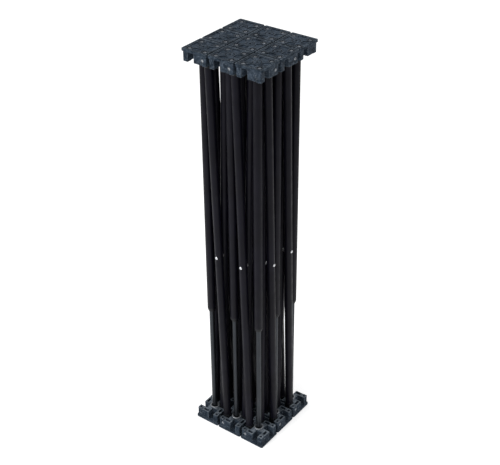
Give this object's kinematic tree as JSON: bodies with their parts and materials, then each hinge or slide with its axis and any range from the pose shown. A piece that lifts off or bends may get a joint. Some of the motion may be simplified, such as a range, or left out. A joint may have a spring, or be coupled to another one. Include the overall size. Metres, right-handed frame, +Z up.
{
  "type": "folding scissor truss frame",
  "caption": "Collapsible stage-riser frame, folded: a grid of hub heads over hub feet, joined by crossing tubular braces and telescopic uprights.",
  "frame": {"origin": "on the floor, at the centre of the folded frame's footprint", "axes": "+Z up along the braces; +X and +Y along the two directions of the hub grid"},
  "size_m": [0.1602, 0.1602, 0.784],
  "materials": {
    "moulded_nylon": "moulded, satin",
    "black_tube": "satin black powder coat",
    "dark_anodised": "dark anodised"
  },
  "bodies": {
    "foot_b2": {"foot_hub_b2": "moulded_nylon", "lower_post_b2": "dark_anodised"},
    "foot_a1": {"foot_hub_a1": "moulded_nylon", "lower_post_a1": "dark_anodised"},
    "foot_a2": {"foot_hub_a2": "moulded_nylon", "lower_post_a2": "dark_anodised"},
    "foot_a3": {"foot_hub_a3": "moulded_nylon", "lower_post_a3": "dark_anodised"},
    "foot_b1": {"foot_hub_b1": "moulded_nylon", "lower_post_b1": "dark_anodised"},
    "foot_b3": {"foot_hub_b3": "moulded_nylon", "lower_post_b3": "dark_anodised"},
    "foot_c1": {"foot_hub_c1": "moulded_nylon", "lower_post_c1": "dark_anodised"},
    "foot_c2": {"foot_hub_c2": "moulded_nylon", "lower_post_c2": "dark_anodised"},
    "foot_c3": {"foot_hub_c3": "moulded_nylon", "lower_post_c3": "dark_anodised"},
    "head_a1": {"top_hub_a1": "moulded_nylon", "upper_sleeve_a1": "black_tube"},
    "head_a2": {"top_hub_a2": "moulded_nylon", "upper_sleeve_a2": "black_tube"},
    "head_a3": {"top_hub_a3": "moulded_nylon", "upper_sleeve_a3": "black_tube"},
    "head_b1": {"top_hub_b1": "moulded_nylon", "upper_sleeve_b1": "black_tube"},
    "head_b2": {"top_hub_b2": "moulded_nylon", "upper_sleeve_b2": "black_tube"},
    "head_b3": {"top_hub_b3": "moulded_nylon", "upper_sleeve_b3": "black_tube"},
    "head_c1": {"top_hub_c1": "moulded_nylon", "upper_sleeve_c1": "black_tube"},
    "head_c2": {"top_hub_c2": "moulded_nylon", "upper_sleeve_c2": "black_tube"},
    "head_c3": {"top_hub_c3": "moulded_nylon", "upper_sleeve_c3": "black_tube"},
    "brace_top_c2_foot_b2": {"brace_top_c2_foot_b2": "black_tube"},
    "brace_top_b2_foot_c2": {"brace_top_b2_foot_c2": "black_tube"},
    "brace_top_a2_foot_b2": {"brace_top_a2_foot_b2": "black_tube"},
    "brace_top_b2_foot_a2": {"brace_top_b2_foot_a2": "black_tube"},
    "brace_top_b3_foot_b2": {"brace_top_b3_foot_b2": "black_tube"},
    "brace_top_b2_foot_b3": {"brace_top_b2_foot_b3": "black_tube"},
    "brace_top_b1_foot_b2": {"brace_top_b1_foot_b2": "black_tube"},
    "brace_top_b2_foot_b1": {"brace_top_b2_foot_b1": "black_tube"},
    "brace_top_a1_foot_b1": {"brace_top_a1_foot_b1": "black_tube"},
    "brace_top_b1_foot_a1": {"brace_top_b1_foot_a1": "black_tube"},
    "brace_top_c1_foot_b1": {"brace_top_c1_foot_b1": "black_tube"},
    "brace_top_b1_foot_c1": {"brace_top_b1_foot_c1": "black_tube"},
    "brace_top_a3_foot_b3": {"brace_top_a3_foot_b3": "black_tube"},
    "brace_top_b3_foot_a3": {"brace_top_b3_foot_a3": "black_tube"},
    "brace_top_c3_foot_b3": {"brace_top_c3_foot_b3": "black_tube"},
    "brace_top_b3_foot_c3": {"brace_top_b3_foot_c3": "black_tube"},
    "brace_top_a1_foot_a2": {"brace_top_a1_foot_a2": "black_tube"},
    "brace_top_a2_foot_a1": {"brace_top_a2_foot_a1": "black_tube"},
    "brace_top_a3_foot_a2": {"brace_top_a3_foot_a2": "black_tube"},
    "brace_top_a2_foot_a3": {"brace_top_a2_foot_a3": "black_tube"},
    "brace_top_c1_foot_c2": {"brace_top_c1_foot_c2": "black_tube"},
    "brace_top_c2_foot_c1": {"brace_top_c2_foot_c1": "black_tube"},
    "brace_top_c3_foot_c2": {"brace_top_c3_foot_c2": "black_tube"},
    "brace_top_c2_foot_c3": {"brace_top_c2_foot_c3": "black_tube"}
  },
  "joints": [
    {"name": "open_close", "type": "hinge", "parent": "foot_b2", "child": "brace_top_c2_foot_b2", "pos_m": [0.016, 0.0079, 0.0134], "axis": [0, 1, 0], "range_deg": [0, 45]},
    {"name": "rivet_b2_c2", "type": "hinge", "parent": "brace_top_c2_foot_b2", "child": "brace_top_b2_foot_c2", "pos_m": [0.027, 0, 0.392], "axis": [0, 1, 0], "range_deg": [-90, 0]},
    {"name": "top_c2_from_b2", "type": "hinge", "parent": "brace_top_c2_foot_b2", "child": "head_c2", "pos_m": [0.038, 0.0079, 0.7706], "axis": [0, 1, 0], "range_deg": [-45, 0]},
    {"name": "foot_c2_from_b2", "type": "hinge", "parent": "brace_top_b2_foot_c2", "child": "foot_c2", "pos_m": [0.038, -0.0079, 0.0134], "axis": [0, 1, 0], "range_deg": [0, 45]},
    {"name": "top_b2_from_c2", "type": "hinge", "parent": "brace_top_b2_foot_c2", "child": "head_b2", "pos_m": [0.016, -0.0079, 0.7706], "axis": [0, 1, 0], "range_deg": [0, 45]},
    {"name": "foot_b2_to_a2", "type": "hinge", "parent": "foot_b2", "child": "brace_top_a2_foot_b2", "pos_m": [-0.016, -0.0079, 0.0134], "axis": [0, -1, 0], "range_deg": [0, 45]},
    {"name": "rivet_b2_a2", "type": "hinge", "parent": "brace_top_a2_foot_b2", "child": "brace_top_b2_foot_a2", "pos_m": [-0.027, 0, 0.392], "axis": [0, -1, 0], "range_deg": [-90, 0]},
    {"name": "top_a2_from_b2", "type": "hinge", "parent": "brace_top_a2_foot_b2", "child": "head_a2", "pos_m": [-0.038, -0.0079, 0.7706], "axis": [0, -1, 0], "range_deg": [-45, 0]},
    {"name": "foot_a2_from_b2", "type": "hinge", "parent": "brace_top_b2_foot_a2", "child": "foot_a2", "pos_m": [-0.038, 0.0079, 0.0134], "axis": [0, -1, 0], "range_deg": [0, 45]},
    {"name": "foot_b2_to_b3", "type": "hinge", "parent": "foot_b2", "child": "brace_top_b3_foot_b2", "pos_m": [-0.0079, 0.016, 0.0134], "axis": [-1, 0, 0], "range_deg": [0, 45]},
    {"name": "rivet_b2_b3", "type": "hinge", "parent": "brace_top_b3_foot_b2", "child": "brace_top_b2_foot_b3", "pos_m": [0, 0.027, 0.392], "axis": [-1, 0, 0], "range_deg": [-90, 0]},
    {"name": "top_b3_from_b2", "type": "hinge", "parent": "brace_top_b3_foot_b2", "child": "head_b3", "pos_m": [-0.0079, 0.038, 0.7706], "axis": [-1, 0, 0], "range_deg": [-45, 0]},
    {"name": "foot_b3_from_b2", "type": "hinge", "parent": "brace_top_b2_foot_b3", "child": "foot_b3", "pos_m": [0.0079, 0.038, 0.0134], "axis": [-1, 0, 0], "range_deg": [0, 45]},
    {"name": "foot_b2_to_b1", "type": "hinge", "parent": "foot_b2", "child": "brace_top_b1_foot_b2", "pos_m": [0.0079, -0.016, 0.0134], "axis": [1, 0, 0], "range_deg": [0, 45]},
    {"name": "rivet_b2_b1", "type": "hinge", "parent": "brace_top_b1_foot_b2", "child": "brace_top_b2_foot_b1", "pos_m": [0, -0.027, 0.392], "axis": [1, 0, 0], "range_deg": [-90, 0]},
    {"name": "top_b1_from_b2", "type": "hinge", "parent": "brace_top_b1_foot_b2", "child": "head_b1", "pos_m": [0.0079, -0.038, 0.7706], "axis": [1, 0, 0], "range_deg": [-45, 0]},
    {"name": "foot_b1_from_b2", "type": "hinge", "parent": "brace_top_b2_foot_b1", "child": "foot_b1", "pos_m": [-0.0079, -0.038, 0.0134], "axis": [1, 0, 0], "range_deg": [0, 45]},
    {"name": "foot_b1_to_a1", "type": "hinge", "parent": "foot_b1", "child": "brace_top_a1_foot_b1", "pos_m": [-0.016, -0.0619, 0.0134], "axis": [0, -1, 0], "range_deg": [0, 45]},
    {"name": "rivet_b1_a1", "type": "hinge", "parent": "brace_top_a1_foot_b1", "child": "brace_top_b1_foot_a1", "pos_m": [-0.027, -0.054, 0.392], "axis": [0, -1, 0], "range_deg": [-90, 0]},
    {"name": "top_a1_from_b1", "type": "hinge", "parent": "brace_top_a1_foot_b1", "child": "head_a1", "pos_m": [-0.038, -0.0619, 0.7706], "axis": [0, -1, 0], "range_deg": [-45, 0]},
    {"name": "foot_a1_from_b1", "type": "hinge", "parent": "brace_top_b1_foot_a1", "child": "foot_a1", "pos_m": [-0.038, -0.0461, 0.0134], "axis": [0, -1, 0], "range_deg": [0, 45]},
    {"name": "foot_b1_to_c1", "type": "hinge", "parent": "foot_b1", "child": "brace_top_c1_foot_b1", "pos_m": [0.016, -0.0461, 0.0134], "axis": [0, 1, 0], "range_deg": [0, 45]},
    {"name": "rivet_b1_c1", "type": "hinge", "parent": "brace_top_c1_foot_b1", "child": "brace_top_b1_foot_c1", "pos_m": [0.027, -0.054, 0.392], "axis": [0, 1, 0], "range_deg": [-90, 0]},
    {"name": "top_c1_from_b1", "type": "hinge", "parent": "brace_top_c1_foot_b1", "child": "head_c1", "pos_m": [0.038, -0.0461, 0.7706], "axis": [0, 1, 0], "range_deg": [-45, 0]},
    {"name": "foot_c1_from_b1", "type": "hinge", "parent": "brace_top_b1_foot_c1", "child": "foot_c1", "pos_m": [0.038, -0.0619, 0.0134], "axis": [0, 1, 0], "range_deg": [0, 45]},
    {"name": "foot_b3_to_a3", "type": "hinge", "parent": "foot_b3", "child": "brace_top_a3_foot_b3", "pos_m": [-0.016, 0.0461, 0.0134], "axis": [0, -1, 0], "range_deg": [0, 45]},
    {"name": "rivet_b3_a3", "type": "hinge", "parent": "brace_top_a3_foot_b3", "child": "brace_top_b3_foot_a3", "pos_m": [-0.027, 0.054, 0.392], "axis": [0, -1, 0], "range_deg": [-90, 0]},
    {"name": "top_a3_from_b3", "type": "hinge", "parent": "brace_top_a3_foot_b3", "child": "head_a3", "pos_m": [-0.038, 0.0461, 0.7706], "axis": [0, -1, 0], "range_deg": [-45, 0]},
    {"name": "foot_a3_from_b3", "type": "hinge", "parent": "brace_top_b3_foot_a3", "child": "foot_a3", "pos_m": [-0.038, 0.0619, 0.0134], "axis": [0, -1, 0], "range_deg": [0, 45]},
    {"name": "foot_b3_to_c3", "type": "hinge", "parent": "foot_b3", "child": "brace_top_c3_foot_b3", "pos_m": [0.016, 0.0619, 0.0134], "axis": [0, 1, 0], "range_deg": [0, 45]},
    {"name": "rivet_b3_c3", "type": "hinge", "parent": "brace_top_c3_foot_b3", "child": "brace_top_b3_foot_c3", "pos_m": [0.027, 0.054, 0.392], "axis": [0, 1, 0], "range_deg": [-90, 0]},
    {"name": "top_c3_from_b3", "type": "hinge", "parent": "brace_top_c3_foot_b3", "child": "head_c3", "pos_m": [0.038, 0.0619, 0.7706], "axis": [0, 1, 0], "range_deg": [-45, 0]},
    {"name": "foot_c3_from_b3", "type": "hinge", "parent": "brace_top_b3_foot_c3", "child": "foot_c3", "pos_m": [0.038, 0.0461, 0.0134], "axis": [0, 1, 0], "range_deg": [0, 45]},
    {"name": "foot_a2_to_a1", "type": "hinge", "parent": "foot_a2", "child": "brace_top_a1_foot_a2", "pos_m": [-0.0461, -0.016, 0.0134], "axis": [1, 0, 0], "range_deg": [0, 45]},
    {"name": "rivet_a2_a1", "type": "hinge", "parent": "brace_top_a1_foot_a2", "child": "brace_top_a2_foot_a1", "pos_m": [-0.054, -0.027, 0.392], "axis": [1, 0, 0], "range_deg": [-90, 0]},
    {"name": "foot_a2_to_a3", "type": "hinge", "parent": "foot_a2", "child": "brace_top_a3_foot_a2", "pos_m": [-0.0619, 0.016, 0.0134], "axis": [-1, 0, 0], "range_deg": [0, 45]},
    {"name": "rivet_a2_a3", "type": "hinge", "parent": "brace_top_a3_foot_a2", "child": "brace_top_a2_foot_a3", "pos_m": [-0.054, 0.027, 0.392], "axis": [-1, 0, 0], "range_deg": [-90, 0]},
    {"name": "foot_c2_to_c1", "type": "hinge", "parent": "foot_c2", "child": "brace_top_c1_foot_c2", "pos_m": [0.0619, -0.016, 0.0134], "axis": [1, 0, 0], "range_deg": [0, 45]},
    {"name": "rivet_c2_c1", "type": "hinge", "parent": "brace_top_c1_foot_c2", "child": "brace_top_c2_foot_c1", "pos_m": [0.054, -0.027, 0.392], "axis": [1, 0, 0], "range_deg": [-90, 0]},
    {"name": "foot_c2_to_c3", "type": "hinge", "parent": "foot_c2", "child": "brace_top_c3_foot_c2", "pos_m": [0.0461, 0.016, 0.0134], "axis": [-1, 0, 0], "range_deg": [0, 45]},
    {"name": "rivet_c2_c3", "type": "hinge", "parent": "brace_top_c3_foot_c2", "child": "brace_top_c2_foot_c3", "pos_m": [0.054, 0.027, 0.392], "axis": [-1, 0, 0], "range_deg": [-90, 0]}
  ],
  "couplings": [
    {"joint": "rivet_b2_c2", "follows": "open_close", "ratio": -2},
    {"joint": "top_c2_from_b2", "follows": "open_close", "ratio": -1},
    {"joint": "foot_c2_from_b2", "follows": "open_close", "ratio": 1},
    {"joint": "top_b2_from_c2", "follows": "open_close", "ratio": 1},
    {"joint": "foot_b2_to_a2", "follows": "open_close", "ratio": 1},
    {"joint": "rivet_b2_a2", "follows": "open_close", "ratio": -2},
    {"joint": "top_a2_from_b2", "follows": "open_close", "ratio": -1},
    {"joint": "foot_a2_from_b2", "follows": "open_close", "ratio": 1},
    {"joint": "foot_b2_to_b3", "follows": "open_close", "ratio": 1},
    {"joint": "rivet_b2_b3", "follows": "open_close", "ratio": -2},
    {"joint": "top_b3_from_b2", "follows": "open_close", "ratio": -1},
    {"joint": "foot_b3_from_b2", "follows": "open_close", "ratio": 1},
    {"joint": "foot_b2_to_b1", "follows": "open_close", "ratio": 1},
    {"joint": "rivet_b2_b1", "follows": "open_close", "ratio": -2},
    {"joint": "top_b1_from_b2", "follows": "open_close", "ratio": -1},
    {"joint": "foot_b1_from_b2", "follows": "open_close", "ratio": 1},
    {"joint": "foot_b1_to_a1", "follows": "open_close", "ratio": 1},
    {"joint": "rivet_b1_a1", "follows": "open_close", "ratio": -2},
    {"joint": "top_a1_from_b1", "follows": "open_close", "ratio": -1},
    {"joint": "foot_a1_from_b1", "follows": "open_close", "ratio": 1},
    {"joint": "foot_b1_to_c1", "follows": "open_close", "ratio": 1},
    {"joint": "rivet_b1_c1", "follows": "open_close", "ratio": -2},
    {"joint": "top_c1_from_b1", "follows": "open_close", "ratio": -1},
    {"joint": "foot_c1_from_b1", "follows": "open_close", "ratio": 1},
    {"joint": "foot_b3_to_a3", "follows": "open_close", "ratio": 1},
    {"joint": "rivet_b3_a3", "follows": "open_close", "ratio": -2},
    {"joint": "top_a3_from_b3", "follows": "open_close", "ratio": -1},
    {"joint": "foot_a3_from_b3", "follows": "open_close", "ratio": 1},
    {"joint": "foot_b3_to_c3", "follows": "open_close", "ratio": 1},
    {"joint": "rivet_b3_c3", "follows": "open_close", "ratio": -2},
    {"joint": "top_c3_from_b3", "follows": "open_close", "ratio": -1},
    {"joint": "foot_c3_from_b3", "follows": "open_close", "ratio": 1},
    {"joint": "foot_a2_to_a1", "follows": "open_close", "ratio": 1},
    {"joint": "rivet_a2_a1", "follows": "open_close", "ratio": -2},
    {"joint": "foot_a2_to_a3", "follows": "open_close", "ratio": 1},
    {"joint": "rivet_a2_a3", "follows": "open_close", "ratio": -2},
    {"joint": "foot_c2_to_c1", "follows": "open_close", "ratio": 1},
    {"joint": "rivet_c2_c1", "follows": "open_close", "ratio": -2},
    {"joint": "foot_c2_to_c3", "follows": "open_close", "ratio": 1},
    {"joint": "rivet_c2_c3", "follows": "open_close", "ratio": -2}
  ]
}
